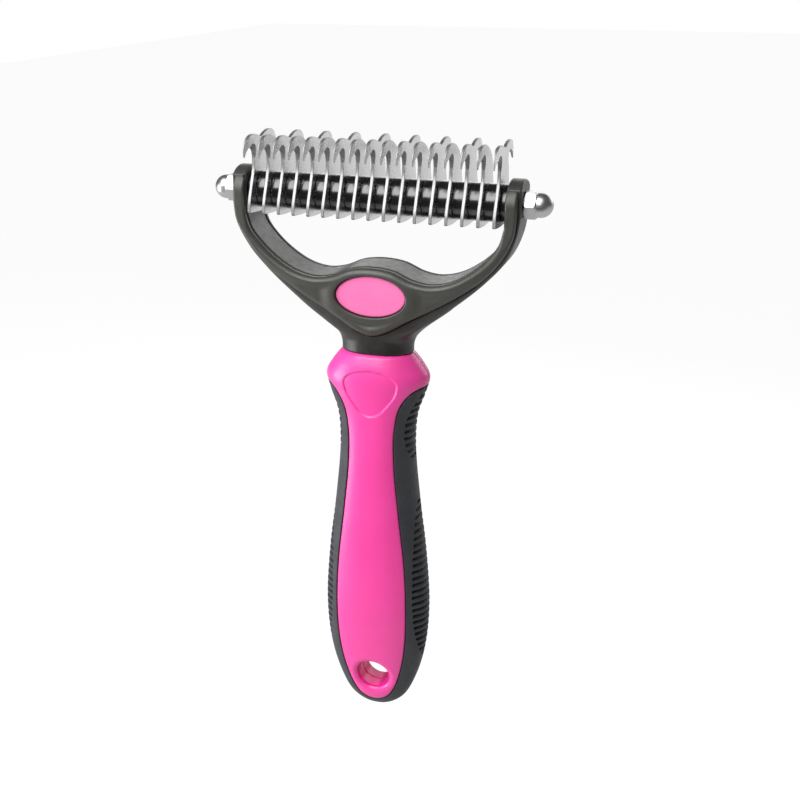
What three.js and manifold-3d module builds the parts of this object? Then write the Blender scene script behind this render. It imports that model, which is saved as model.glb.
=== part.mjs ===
// Undercoat rake: a two-colour handle, a forked yoke and a stack of hooked steel blades on a tie rod.
// Millimetres. +Z runs up the handle to the teeth, -Y is the front, X runs along the tie rod.
// The origin is the centre of the hanging hole, on the rake's mid-plane.
import * as THREE from 'three';
import { mergeVertices } from 'three/addons/utils/BufferGeometryUtils.js';
import Module from 'manifold-3d';

const wasm = await Module();
wasm.setup();

// ---- Driving dimensions ----

const SEAM = 0.15; // gap left between moulded pieces
const FACE_GAP = 0.05; // gap between stacked blades and spacers

// Handle: [height, half width, half depth] from the rounded end up to the collar's rim
const HANDLE_STATIONS = [
  [-12.7, 0, 0],
  [-12.0, 4.2, 2.4],
  [-8.6, 8.7, 4.6],
  [-1.2, 12.3, 6.4],
  [9.5, 15.0, 8.2],
  [23.5, 16.0, 9.4],
  [41.5, 14.8, 9.4],
  [59.5, 12.5, 8.9],
  [75.5, 11.1, 8.5],
  [85.5, 11.7, 8.5],
  [92.5, 14.0, 8.9],
  [97.0, 15.0, 9.1],
  [100.5, 13.2, 8.4],
  [104.0, 10.5, 7.1],
];
const HANDLE_SQUARENESS = 2.2; // superellipse exponent of the handle's section
const COLLAR_TOP = 104;
const REACH = 120; // further than any part of the rake, for cutters

// Right edge of the coloured shell seen from the front, from its lowest point to the shoulder
const SHELL_EDGE = [
  [0, -9.7],
  [3.9, -8.2],
  [6.4, -4.6],
  [8.6, 2.0],
  [10.2, 11.0],
  [10.8, 23.5],
  [10.2, 39.0],
  [8.2, 57.0],
  [6.8, 71.5],
  [6.8, 82.0],
  [8.4, 89.5],
  [12.0, 94.0],
  [17.0, 95.6],
];

const HOLE_RADIUS = 4.9;
const HOLE_LIP = 2.2; // radius of the hole's rounded rims
const HOLE_WALL_HALF = 4.3; // half length of the hole's straight wall
const SHELL_WALL = 2.5;
const CAVITY = { bottom: 11, top: 57 }; // hollow between the hole's boss and the rib under the tang
const PEG = { radius: 1.1, length: 2.4, z: 59 }; // locating peg on that rib

// Tang: the yoke's tongue inside the handle
const TANG = { halfWidth: 3.8, halfDepth: 2.6, bottom: 62.3, top: 112, clearance: 0.3 };

// Yoke
const BAR_Z = 147.2; // height of the tie rod's axis
const ARM_INNER = 36.2;
const ARM_OUTER = 40.1;
const ARM_RADIUS = 7.8; // half depth of an arm, and the radius of its round end
const YOKE_HALF_DEPTH = 8.2; // at the middle of the fork
const YOKE_TAPER = { from: 126, to: 140 }; // heights between which the depth narrows to the arms'
const NECK_BOTTOM = 104.1;
const CORE_HALF_DEPTH = 5.6;
const PLATE_INNER = 5.8;
const NECK_STATIONS = [
  [NECK_BOTTOM, 10.2, 6.6],
  [108.0, 10.2, 6.5],
  [111.2, 12.0, 6.3],
  [115.0, 16.5, 5.8],
];
// Right half of the window's lower edge, from the middle out to the arm's inner face
const WINDOW_EDGE = [
  [0, 128.8],
  [6, 128.1],
  [11.5, 125.9],
  [16.5, 125.2],
  [22, 126.4],
  [27.5, 129.6],
  [32, 133.7],
  [34.8, 137.4],
  [ARM_INNER, 141.8],
];
// Right half of the core's lower edge, from the middle out to the arm's outer face
const CORE_EDGE = [
  [0, 110.0],
  [9, 110.4],
  [16.4, 114.3],
  [24.5, 120.5],
  [30.8, 126.1],
  [36.4, 132.5],
  [39.1, 138.8],
  [ARM_OUTER, 144.5],
];
// Right half of the cover plate's lower edge, a rounded V inside the core's edge
const PLATE_EDGE = [
  [0, 109.7],
  [4, 110.8],
  [10, 114.3],
  [17, 118.1],
  [25, 123.1],
  [31.4, 128.2],
  [36, 133.8],
  [38.6, 139.4],
  [39.3, 144.5],
];
const BADGE = { z: 121.0, halfWidth: 10, halfHeight: 5.7, front: 7.5, clearance: 0.3 };

// Blade stack
const BLADE_COUNT = 17;
const PITCH = 4.24;
const BLADE_THICK = 0.9;
const SPACER_RADIUS = 5;
const ROUND_SEGMENTS = 16;
const ROD_SQUARE = 5; // the rod's square middle, which keys the blades
const ROD_RADIUS = 2;
const ROD_HALF_LENGTH = 44.9;
const KEY_CLEARANCE = 0.15;
const BORE_CLEARANCE = 0.2;
const NUT = {
  flats: 7,
  hexHeight: 3.2,
  domeRadius: 3.25,
  height: 7.35,
  boreRadius: 2.1,
  boreDepth: 5.6,
};

// ---- Materials ----

const plastic = (color, roughness) => new THREE.MeshStandardMaterial({ color, roughness, metalness: 0 });
const metal = (color, roughness) => new THREE.MeshStandardMaterial({ color, roughness, metalness: 1 });

const LOOKS = {
  shell: () => plastic(0xf0479f, 0.38),
  grip: () => plastic(0x34373c, 0.75),
  yoke: () => plastic(0x3a3b38, 0.45),
  badge: () => plastic(0xff7fc0, 0.35),
  spacer: () => plastic(0x0c0c0d, 0.15),
  steel: () => metal(0xc9cbcc, 0.3),
  chrome: () => metal(0xe4e6e8, 0.1),
};

// ---- Solids ----

function toSolid(geometry) {
  geometry.deleteAttribute('normal');
  geometry.deleteAttribute('uv');
  const merged = mergeVertices(geometry, 1e-5);
  const vertProperties = new Float32Array(merged.getAttribute('position').array);
  const triVerts = new Uint32Array(merged.getIndex().array);
  return new wasm.Manifold(new wasm.Mesh({ numProp: 3, vertProperties, triVerts }));
}

function toMesh(name, solid, look) {
  const { vertProperties, triVerts } = solid.getMesh();
  const geometry = new THREE.BufferGeometry();
  geometry.setAttribute('position', new THREE.BufferAttribute(vertProperties, 3));
  geometry.setIndex(new THREE.BufferAttribute(triVerts, 1));
  geometry.computeVertexNormals();
  const mesh = new THREE.Mesh(geometry, LOOKS[look]());
  mesh.name = name;
  return mesh;
}

const toPoints = (pairs) => pairs.map(([x, y]) => new THREE.Vector2(x, y));

// A shape drawn in X and Z, extruded along Y from one depth to another
function frontPrism(shape, yFrom, yTo, curveSegments = 2) {
  const options = { depth: yTo - yFrom, bevelEnabled: false, curveSegments };
  const geometry = new THREE.ExtrudeGeometry(shape, options);
  geometry.rotateX(Math.PI / 2);
  geometry.translate(0, yTo, 0);
  return toSolid(geometry);
}

// A shape drawn in Y and Z, extruded along X and centred on xMiddle
function sideGeometry(shape, thickness, xMiddle, curveSegments) {
  const options = { depth: thickness, bevelEnabled: false, curveSegments };
  const geometry = new THREE.ExtrudeGeometry(shape, options);
  const axes = [new THREE.Vector3(0, 1, 0), new THREE.Vector3(0, 0, 1), new THREE.Vector3(1, 0, 0)];
  geometry.applyMatrix4(new THREE.Matrix4().makeBasis(...axes));
  geometry.translate(xMiddle - thickness / 2, 0, 0);
  return geometry;
}

function box(xHalf, yFrom, yTo, zFrom, zTo) {
  const geometry = new THREE.BoxGeometry(2 * xHalf, yTo - yFrom, zTo - zFrom);
  geometry.translate(0, (yFrom + yTo) / 2, (zFrom + zTo) / 2);
  return toSolid(geometry);
}

function cylinderAlongX(radius, xFrom, xTo, z) {
  const geometry = new THREE.CylinderGeometry(radius, radius, xTo - xFrom, ROUND_SEGMENTS);
  geometry.rotateZ(-Math.PI / 2);
  geometry.translate((xFrom + xTo) / 2, 0, z);
  return toSolid(geometry);
}

// A body of superellipse sections stacked along Z, each [height, half width, half depth]
function loft(stations, ringsPerSpan, segments) {
  const route = new THREE.CatmullRomCurve3(stations.map(([z, w, d]) => new THREE.Vector3(w, d, z)));
  const sections = route.getPoints(ringsPerSpan * (stations.length - 1));
  const onAxis = (z) => new THREE.Vector3(0, 0, z);
  if (sections[0].x > 0) sections.unshift(onAxis(sections[0].z));
  sections.push(onAxis(sections[sections.length - 1].z));
  const lathe = new THREE.LatheGeometry(toPoints(sections.map((s) => [s.x, s.z])), segments);
  const bend = (value) => Math.sign(value) * Math.abs(value) ** (2 / HANDLE_SQUARENESS);
  const position = lathe.getAttribute('position');
  for (let i = 0; i < position.count; i += 1) {
    const section = sections[i % sections.length];
    const angle = (2 * Math.PI * Math.floor(i / sections.length)) / segments;
    position.setXYZ(i, section.x * bend(Math.sin(angle)), -section.y * bend(Math.cos(angle)), section.z);
  }
  return toSolid(lathe);
}

// ---- Handle ----

const HANDLE_RINGS = 2; // rings of the loft between two stations
const HANDLE_SEGMENTS = 40;

const handleBody = () => loft(HANDLE_STATIONS, HANDLE_RINGS, HANDLE_SEGMENTS);

// The handle's inside, one wall thickness in from its surface
function handleInside() {
  const stations = HANDLE_STATIONS.slice(2).map(([z, w, d]) => [z, w - SHELL_WALL, d - SHELL_WALL]);
  return loft(stations, 1, HANDLE_SEGMENTS / 2);
}

// Everything seen from the front inside the shell's edge, moved in by an inset
function shellOutline(inset, top) {
  const right = SHELL_EDGE.map(([x, z]) => [Math.max(x - inset, 0), x === 0 ? z + inset : z]);
  const left = right.slice(1).map(([x, z]) => [-x, z]);
  const shape = new THREE.Shape();
  shape.moveTo(-right[right.length - 1][0], top);
  shape.lineTo(...left[left.length - 1]);
  shape.splineThru(toPoints([...left.slice(0, -1).reverse(), ...right]));
  shape.lineTo(right[right.length - 1][0], top);
  shape.closePath();
  return shape;
}

// The cutter for the hanging hole, with a rounded rim at each face
function hangingHole() {
  const arcSteps = 4;
  const rim = [];
  for (let i = 0; i <= arcSteps; i += 1) {
    const angle = (Math.PI / 2) * (i / arcSteps);
    const radius = HOLE_RADIUS + HOLE_LIP * (1 - Math.cos(angle));
    rim.push([radius, HOLE_WALL_HALF + HOLE_LIP * Math.sin(angle)]);
  }
  const upper = [...rim, [HOLE_RADIUS + HOLE_LIP, REACH], [0, REACH]];
  const lower = upper.map(([r, y]) => [r, -y]).reverse();
  return toSolid(new THREE.LatheGeometry(toPoints([...lower, ...upper]), 2 * ROUND_SEGMENTS));
}

function shellCavity() {
  const outline = frontPrism(shellOutline(SHELL_WALL, REACH), -REACH, REACH, 1);
  const hollow = box(REACH, -REACH, REACH, CAVITY.bottom, CAVITY.top);
  const pocketWidth = TANG.halfWidth + TANG.clearance;
  const pocketDepth = TANG.halfDepth + TANG.clearance;
  const pocketBottom = TANG.bottom - TANG.clearance;
  const pocket = box(pocketWidth, -pocketDepth, pocketDepth, pocketBottom, COLLAR_TOP + 1);
  return handleInside().intersect(outline).intersect(hollow).add(pocket);
}

function pegSolid(radius, yFrom, yTo) {
  const geometry = new THREE.CylinderGeometry(radius, radius, yTo - yFrom, ROUND_SEGMENTS);
  geometry.translate(0, (yFrom + yTo) / 2, PEG.z);
  return toSolid(geometry);
}

function handlePieces() {
  const body = handleBody().subtract(hangingHole());
  const panel = body.intersect(frontPrism(shellOutline(SEAM / 2, REACH), -REACH, REACH));
  const hollowed = panel.subtract(shellCavity());
  const front = hollowed.intersect(box(REACH, -REACH, -SEAM / 2, -REACH, REACH));
  const back = hollowed.intersect(box(REACH, SEAM / 2, REACH, -REACH, REACH));
  const peg = pegSolid(PEG.radius, -2 * PEG.length, PEG.length);
  const socket = pegSolid(PEG.radius + SEAM, -1, PEG.length + 1);
  const band = body.subtract(frontPrism(shellOutline(-SEAM / 2, REACH), -REACH, REACH));
  return [
    toMesh('handle_front_shell', front.add(peg), 'shell'),
    toMesh('handle_back_shell', back.subtract(socket), 'shell'),
    toMesh('grip_band', band, 'grip'),
  ];
}

// ---- Yoke ----

// The fork between a lower edge and the window, up to the top of the arms
function forkShape(lowerEdge, armInner) {
  const top = BAR_Z + REACH;
  const armOuter = lowerEdge[lowerEdge.length - 1][0];
  const windowEdge = WINDOW_EDGE.map(([x, z]) => [Math.min(x, armInner), z]);
  const mirror = (edge) => edge.slice(1).map(([x, z]) => [-x, z]).reverse();
  const shape = new THREE.Shape();
  shape.moveTo(-armOuter, top);
  shape.lineTo(-armOuter, lowerEdge[lowerEdge.length - 1][1]);
  shape.splineThru(toPoints([...mirror(lowerEdge).slice(1), ...lowerEdge]));
  shape.lineTo(armOuter, top);
  shape.lineTo(armInner, top);
  shape.lineTo(armInner, WINDOW_EDGE[WINDOW_EDGE.length - 1][1]);
  const windowBack = [...mirror(windowEdge), ...windowEdge].reverse();
  shape.splineThru(toPoints(windowBack.slice(1)));
  shape.lineTo(-armInner, top);
  shape.closePath();
  return shape;
}

// The yoke seen from the side: deepest at the fork, with a round end about the tie rod
function yokeSideProfile() {
  const shape = new THREE.Shape();
  shape.moveTo(-YOKE_HALF_DEPTH, NECK_BOTTOM);
  shape.lineTo(-YOKE_HALF_DEPTH, YOKE_TAPER.from);
  shape.lineTo(-ARM_RADIUS, YOKE_TAPER.to);
  shape.lineTo(-ARM_RADIUS, BAR_Z);
  shape.absarc(0, BAR_Z, ARM_RADIUS, Math.PI, 0, true);
  shape.lineTo(ARM_RADIUS, YOKE_TAPER.to);
  shape.lineTo(YOKE_HALF_DEPTH, YOKE_TAPER.from);
  shape.lineTo(YOKE_HALF_DEPTH, NECK_BOTTOM);
  shape.closePath();
  return toSolid(sideGeometry(shape, REACH, 0, ROUND_SEGMENTS));
}

function ellipsePrism(halfWidth, halfHeight, yFrom, yTo) {
  const shape = new THREE.Shape();
  shape.absellipse(0, BADGE.z, halfWidth, halfHeight, 0, 2 * Math.PI, false, 0);
  return frontPrism(shape, yFrom, yTo, ROUND_SEGMENTS);
}

function yokeCore() {
  const fork = frontPrism(forkShape(CORE_EDGE, ARM_INNER), -CORE_HALF_DEPTH, CORE_HALF_DEPTH);
  const neck = loft(NECK_STATIONS, 2, 28);
  const tang = box(TANG.halfWidth, -TANG.halfDepth, TANG.halfDepth, TANG.bottom, TANG.top);
  const bore = cylinderAlongX(ROD_RADIUS + BORE_CLEARANCE, -REACH, REACH, BAR_Z);
  return fork.intersect(yokeSideProfile()).add(neck.subtract(plateSpace())).add(tang).subtract(bore);
}

// Where the cover plates lie, with a gap all round, front and back
function plateSpace() {
  const shape = forkShape(PLATE_EDGE.map(([x, z]) => [x, z - SEAM]), ARM_INNER);
  const front = frontPrism(shape, -REACH, -CORE_HALF_DEPTH);
  const back = frontPrism(shape, CORE_HALF_DEPTH, REACH);
  return front.add(back);
}

function yokePlate(side) {
  const depths = [side * PLATE_INNER, side * (YOKE_HALF_DEPTH + 1)].sort((a, b) => a - b);
  const blank = frontPrism(forkShape(PLATE_EDGE, ARM_INNER), ...depths);
  const recessHalf = [BADGE.halfWidth + BADGE.clearance, BADGE.halfHeight + BADGE.clearance];
  return blank.intersect(yokeSideProfile()).subtract(ellipsePrism(...recessHalf, ...depths));
}

function badge(side) {
  const depths = [side * (PLATE_INNER + SEAM), side * BADGE.front].sort((a, b) => a - b);
  return ellipsePrism(BADGE.halfWidth, BADGE.halfHeight, ...depths);
}

function yokePieces() {
  return [
    toMesh('yoke_core', yokeCore(), 'yoke'),
    toMesh('yoke_front_plate', yokePlate(-1), 'yoke'),
    toMesh('yoke_back_plate', yokePlate(1), 'yoke'),
    toMesh('badge_front', badge(-1), 'badge'),
    toMesh('badge_back', badge(1), 'badge'),
  ];
}

// ---- Tie rod and nuts ----

function tieRod() {
  const half = ROD_SQUARE / 2;
  const square = box(ARM_INNER - FACE_GAP, -half, half, BAR_Z - half, BAR_Z + half);
  return square.add(cylinderAlongX(ROD_RADIUS, -ROD_HALF_LENGTH, ROD_HALF_LENGTH, BAR_Z));
}

// A domed cap nut, its seat at the arm and its dome pointing along +X
function domeNut() {
  const seat = ARM_OUTER + FACE_GAP;
  const hexRadius = NUT.flats / Math.sqrt(3);
  const hex = new THREE.CylinderGeometry(hexRadius, hexRadius, NUT.hexHeight, 6);
  hex.rotateZ(-Math.PI / 2);
  hex.rotateX(Math.PI / 2);
  hex.translate(seat + NUT.hexHeight / 2, 0, BAR_Z);
  const domeStart = NUT.height - NUT.domeRadius;
  const profile = [[0, 0], [NUT.domeRadius, 0]];
  const steps = 4;
  for (let i = 0; i < steps; i += 1) {
    const angle = (Math.PI / 2) * (i / steps);
    profile.push([NUT.domeRadius * Math.cos(angle), domeStart + NUT.domeRadius * Math.sin(angle)]);
  }
  profile.push([0, NUT.height]);
  const dome = new THREE.LatheGeometry(toPoints(profile), ROUND_SEGMENTS);
  dome.rotateZ(-Math.PI / 2);
  dome.translate(seat, 0, BAR_Z);
  const bore = cylinderAlongX(NUT.boreRadius, seat - 1, seat + NUT.boreDepth, BAR_Z);
  return toSolid(hex).add(toSolid(dome)).subtract(bore);
}

function rodPieces() {
  const right = domeNut();
  const left = right.mirror([1, 0, 0]);
  return [
    toMesh('tie_rod', tieRod(), 'steel'),
    toMesh('dome_nut_left', left, 'chrome'),
    toMesh('dome_nut_right', right, 'chrome'),
  ];
}

// ---- Blades and spacers ----

// Half of a hooked blade in Y and Z about the rod: the foot's corner up the stem to the tooth's tip
const STEM_EDGE = [[9.3, -4.6], [8.9, -2.2], [6.9, 2.4], [5.3, 6.2], [4.9, 9.2]];
const THROAT = [[5.5, 11.2], [7.4, 12.2], [9.4, 11.7], [10.9, 10.0]];
const TOOTH_BACK = [[11.4, 10.2], [11.3, 12.4], [9.9, 14.3], [7.6, 15.3], [5.2, 15.5], [2.4, 15], [0, 14.3]];
// The back of a one-sided blade, which sweeps over into its front tooth
const PLAIN_BACK = [[3.3, 11.8], [0.4, 13.9], [-2.6, 15.1], [-5.2, 15.5]];
const FOOT_BOTTOM = [[8.4, -5.5], [4.5, -6.3], [0, -6.6]];

function bladeShape(doubleSided) {
  const flip = (edge) => edge.map(([y, z]) => [-y, z]).reverse();
  const shape = new THREE.Shape();
  shape.moveTo(...STEM_EDGE[0]);
  shape.splineThru(toPoints(STEM_EDGE.slice(1)));
  if (doubleSided) {
    shape.splineThru(toPoints(THROAT));
    shape.lineTo(...TOOTH_BACK[0]);
    shape.splineThru(toPoints([...TOOTH_BACK.slice(1), ...flip(TOOTH_BACK).slice(1)]));
  } else {
    shape.splineThru(toPoints([...PLAIN_BACK, ...flip(TOOTH_BACK).slice(3)]));
  }
  const frontThroat = flip(THROAT);
  shape.lineTo(...frontThroat[0]);
  shape.splineThru(toPoints(frontThroat.slice(1)));
  shape.splineThru(toPoints(flip(STEM_EDGE)));
  shape.splineThru(toPoints([...flip(FOOT_BOTTOM.slice(0, 2)).reverse(), [0, FOOT_BOTTOM[2][1]]]));
  shape.splineThru(toPoints([...FOOT_BOTTOM.slice(0, 2).reverse(), STEM_EDGE[0]]));
  const key = ROD_SQUARE / 2 + KEY_CLEARANCE;
  shape.holes.push(new THREE.Path(toPoints([[-key, -key], [-key, key], [key, key], [key, -key]])));
  return shape;
}

function spacer(xFrom, xTo) {
  const inner = (ROD_SQUARE / 2) * Math.SQRT2 + KEY_CLEARANCE;
  const outerWall = [[SPACER_RADIUS, xFrom], [SPACER_RADIUS, xTo]];
  const profile = [[inner, xFrom], ...outerWall, [inner, xTo], [inner, xFrom]];
  const geometry = new THREE.LatheGeometry(toPoints(profile), ROUND_SEGMENTS);
  geometry.rotateZ(-Math.PI / 2);
  geometry.translate(0, 0, BAR_Z);
  return toSolid(geometry);
}

const twoDigits = (number) => String(number).padStart(2, '0');

function stackPieces() {
  const pieces = [];
  const shapes = { double: bladeShape(true), single: bladeShape(false) };
  const middle = (BLADE_COUNT + 1) / 2;
  let from = -ARM_INNER;
  for (let i = 1; i <= BLADE_COUNT; i += 1) {
    const x = (i - middle) * PITCH;
    const geometry = sideGeometry(i % 2 ? shapes.double : shapes.single, BLADE_THICK, x, 1);
    geometry.translate(0, 0, BAR_Z);
    pieces.push(toMesh(`blade_${twoDigits(i)}`, toSolid(geometry), 'steel'));
    const to = x - BLADE_THICK / 2;
    pieces.push(toMesh(`spacer_${twoDigits(i)}`, spacer(from + FACE_GAP, to - FACE_GAP), 'spacer'));
    from = x + BLADE_THICK / 2;
  }
  const last = spacer(from + FACE_GAP, ARM_INNER - FACE_GAP);
  pieces.push(toMesh(`spacer_${twoDigits(BLADE_COUNT + 1)}`, last, 'spacer'));
  return pieces;
}

// ---- Assembly ----

const group = new THREE.Group();
group.add(...handlePieces(), ...yokePieces(), ...rodPieces(), ...stackPieces());
export default group;
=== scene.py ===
"""Undercoat rake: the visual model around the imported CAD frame.

The rake's own millimetres are used throughout, in the frame's axes: +Z up the handle to the teeth,
-Y the front, X along the tie rod, with the origin at the centre of the hanging hole.
Moulded pieces are signed-distance fields turned into meshes; sheet, turned and hex pieces are built directly.
"""

import itertools
import math

import bmesh
import bpy
import numpy as np
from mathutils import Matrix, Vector
from mathutils.geometry import tessellate_polygon


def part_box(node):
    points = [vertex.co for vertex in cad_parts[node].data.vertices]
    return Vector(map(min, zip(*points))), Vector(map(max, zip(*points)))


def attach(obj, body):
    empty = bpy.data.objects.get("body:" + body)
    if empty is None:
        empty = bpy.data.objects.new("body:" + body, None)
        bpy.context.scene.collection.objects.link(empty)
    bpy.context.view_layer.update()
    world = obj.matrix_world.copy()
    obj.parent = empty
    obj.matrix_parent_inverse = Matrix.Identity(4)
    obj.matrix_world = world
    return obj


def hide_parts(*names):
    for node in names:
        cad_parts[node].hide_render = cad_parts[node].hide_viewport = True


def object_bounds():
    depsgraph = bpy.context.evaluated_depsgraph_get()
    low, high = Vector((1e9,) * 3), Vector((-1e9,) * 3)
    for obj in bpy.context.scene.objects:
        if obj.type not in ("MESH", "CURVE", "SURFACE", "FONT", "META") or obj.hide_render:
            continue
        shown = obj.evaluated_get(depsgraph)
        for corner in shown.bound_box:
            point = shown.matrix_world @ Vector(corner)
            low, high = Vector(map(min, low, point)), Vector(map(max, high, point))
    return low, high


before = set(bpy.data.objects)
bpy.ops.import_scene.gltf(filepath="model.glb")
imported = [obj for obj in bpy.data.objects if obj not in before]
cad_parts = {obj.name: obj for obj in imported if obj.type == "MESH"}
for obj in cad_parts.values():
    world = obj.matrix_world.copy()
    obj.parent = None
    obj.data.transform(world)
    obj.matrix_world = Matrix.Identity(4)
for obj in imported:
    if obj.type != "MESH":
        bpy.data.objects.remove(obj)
CAD_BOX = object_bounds()
MM = 0.001


def box_mm(node):
    """Lowest and highest corner of a CAD node, in millimetres."""
    low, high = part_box(node)
    return np.array(low) / MM, np.array(high) / MM


# ---- Sizes taken from the frame ----

ROD_LOW, ROD_HIGH = box_mm("tie_rod")
BAR_Z = (ROD_LOW[2] + ROD_HIGH[2]) / 2
PLATE_LOW, PLATE_HIGH = box_mm("yoke_front_plate")
YOKE_HALF_DEPTH = -PLATE_LOW[1]
PLATE_INNER = -PLATE_HIGH[1]
CORE_LOW, CORE_HIGH = box_mm("yoke_core")
ARM_RADIUS = CORE_HIGH[2] - BAR_Z
PLATE_GAP = 0.03  # between the core and each cover plate
CORE_HALF_DEPTH = PLATE_INNER - PLATE_GAP  # at the fork; the neck is deeper
ARM_OUTER = CORE_HIGH[0]
ARM_INNER = -box_mm("spacer_01")[0][0]
BADGE_LOW, BADGE_HIGH = box_mm("badge_front")
BADGE_Z = (BADGE_LOW[2] + BADGE_HIGH[2]) / 2
BADGE_HALF = (BADGE_HIGH - BADGE_LOW)[[0, 2]] / 2
COLLAR_TOP = box_mm("handle_front_shell")[1][2]

# ---- Shapes, in millimetres ----

# Handle: [height, half width, half depth] from the rounded end up to the collar's rim
HANDLE_STATIONS = [
    [-12.7, 0, 0],
    [-12.0, 4.2, 2.4],
    [-8.6, 8.7, 4.6],
    [-1.2, 12.3, 6.4],
    [9.5, 15.0, 8.2],
    [23.5, 16.0, 9.4],
    [41.5, 14.8, 9.4],
    [59.5, 12.5, 8.9],
    [75.5, 11.1, 8.5],
    [85.5, 11.7, 8.5],
    [92.5, 14.0, 8.9],
    [97.0, 15.0, 9.1],
    [100.5, 13.2, 8.4],
    [104.0, 10.5, 7.1],
    [106.0, 9.2, 6.4],
]
SQUARENESS = 2.2  # superellipse exponent of the handle's section
# Right edge of the coloured shell seen from the front, from its lowest point to the shoulder
SHELL_EDGE = [
    [0, -9.7],
    [3.9, -8.2],
    [6.4, -4.6],
    [8.6, 2.0],
    [10.2, 11.0],
    [10.8, 23.5],
    [10.2, 39.0],
    [8.2, 57.0],
    [6.8, 71.5],
    [6.8, 82.0],
    [8.4, 89.5],
    [12.0, 94.0],
    [17.0, 95.6],
]
# Right half of the thumb recess under the collar, from its top down to its point
THUMB_EDGE = [
    [0, 99.9],
    [4.6, 99.1],
    [7.6, 96.9],
    [7.4, 93.6],
    [5.2, 90.1],
    [2.6, 87.3],
    [0, 86.4],
]
THUMB_DEPTH = 0.42
THUMB_SLOPE_HALF = 0.3  # half the width of the slope round the recess
SEAM_HALF = 0.1  # half the gap between moulded pieces
PARTING_HALF = 0.03  # half the gap between the two half shells
SEAM_ROUNDING = 0.35
PARTING_ROUNDING = 0.25
FINE_ROUNDING = 0.2  # edges that are barely broken
COLLAR_ROUNDING = 0.9
HOLE_RADIUS = 4.9
HOLE_LIP = 2.2
HOLE_SHADE_RADII = (HOLE_RADIUS + 0.1, HOLE_RADIUS + 0.6)  # radii where the hole wall's painted shade starts to fade and is gone
SHELL_WALL = 2.5
CAVITY_FROM, CAVITY_TO = 11.0, 57.0
CAVITY_ROUNDING = 1.0
TANG = {"half_width": 3.8, "half_depth": 2.6, "bottom": CORE_LOW[2], "top": 108, "clearance": 0.3}

# Ribbed pads on the grip's sides: centre height, length up and down from it, half width
RIB_PADS = [
    {"z": 81.5, "up": 13.2, "down": 10.0, "half": 5.0},
    {"z": 27.0, "up": 32.6, "down": 19.6, "half": 6.2},
]
RIB_PITCH = 2.1
RIB_DEPTH = 1.25
RIB_FLANK = (-0.35, 0.4)  # the pitch's cosine where a groove starts and where it is at its full depth
PAD_EDGE = 0.45  # width of the pads' sloping border

# Neck: [height, half width, half depth]
NECK_STATIONS = [
    [103.2, 10.3, 6.6],
    [106.5, 10.4, 6.5],
    [109.0, 11.3, 6.4],
    [111.5, 12.9, 6.3],
    [114.5, 15.7, 5.9],
    [117.5, 19.2, 5.4],
]
# Right half of the window's lower edge, from the middle out to the arm's inner face
WINDOW_EDGE = [
    [0, 128.8],
    [6, 128.1],
    [11.5, 125.9],
    [16.5, 125.2],
    [22, 126.4],
    [27.5, 129.6],
    [32, 133.7],
    [34.8, 137.4],
    [ARM_INNER, 141.8],
]
# Right half of the core's lower edge, from the middle out to the arm's outer face
CORE_EDGE = [
    [0, 110.0],
    [9, 110.4],
    [16.4, 114.3],
    [24.5, 120.5],
    [30.8, 126.1],
    [36.4, 132.5],
    [39.1, 138.8],
    [ARM_OUTER, 144.5],
]
# Right half of the cover plate's lower edge, a rounded V inside the core's edge
PLATE_EDGE = [
    [0, 109.7],
    [4, 110.8],
    [10, 114.3],
    [17, 118.1],
    [25, 123.1],
    [31.4, 128.2],
    [36, 133.8],
    [38.6, 139.4],
    [39.3, 144.5],
]
YOKE_TAPER_FROM, YOKE_TAPER_TO = 126.0, 140.0
ARM_RANGE = (132, 142)  # heights over which the fork's edges change into the arms'
ARM_TOP = 6.5  # height of the arms' slightly flattened round ends above the rod
CORE_ROUNDING, CORE_LESS_ON_ARM = 1.4, 0.8
BACK_ROUNDING = 0.6
PLATE_ROUNDING, PLATE_LESS_ON_ARM = 1.7, 1.1
NECK_FILLET = 2.8
NECK_ROUNDING = 0.6
NECK_END_ROUNDING = 0.4
ROD_BORE_RADIUS = 2.2

# The groove along the window between the core and a cover plate
CHANNEL_HALF, CHANNEL_DEPTH, BACK_CHANNEL_DEPTH = 0.4, 2.0, 0.5
CHANNEL_INSET = 0.1
CHANNEL_FADE, CHANNEL_FADE_RANGE = 0.7, (134, 142)  # share of the depth lost over a range of heights
CHANNEL_ROUNDING = 0.3

# The dish in the cover plate's face. A DISH_OFF pair is how far from a rim it starts and is at full depth
DISH_DEPTH = 0.65
DISH_OFF_WINDOW = (0.8, 3.6)
DISH_OFF_V = (1.6, 4.0)
DISH_OFF_OVAL = 0.9
OVAL_FLANK, SIDE_FLANK_MORE = 2.0, 2.2  # the oval's slope above and below it, and how much wider at its sides
SIDE_FLANK_RANGE = (5, 10)  # distance from the middle over which it widens
V_BELOW_BADGE = (2, 6)  # distance below the badge's middle over which the V's rim begins
V_ENDS = (8, 16)  # distance from the middle over which the V's rim ends
DISH_ENDS = (24, 36)  # and over which the whole dish ends
BADGE_GAP = 0.12
BADGE_CROWN = 0.12
BADGE_ROUNDING = 0.45
BADGE_RIM_ROUNDING = 0.3

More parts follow.
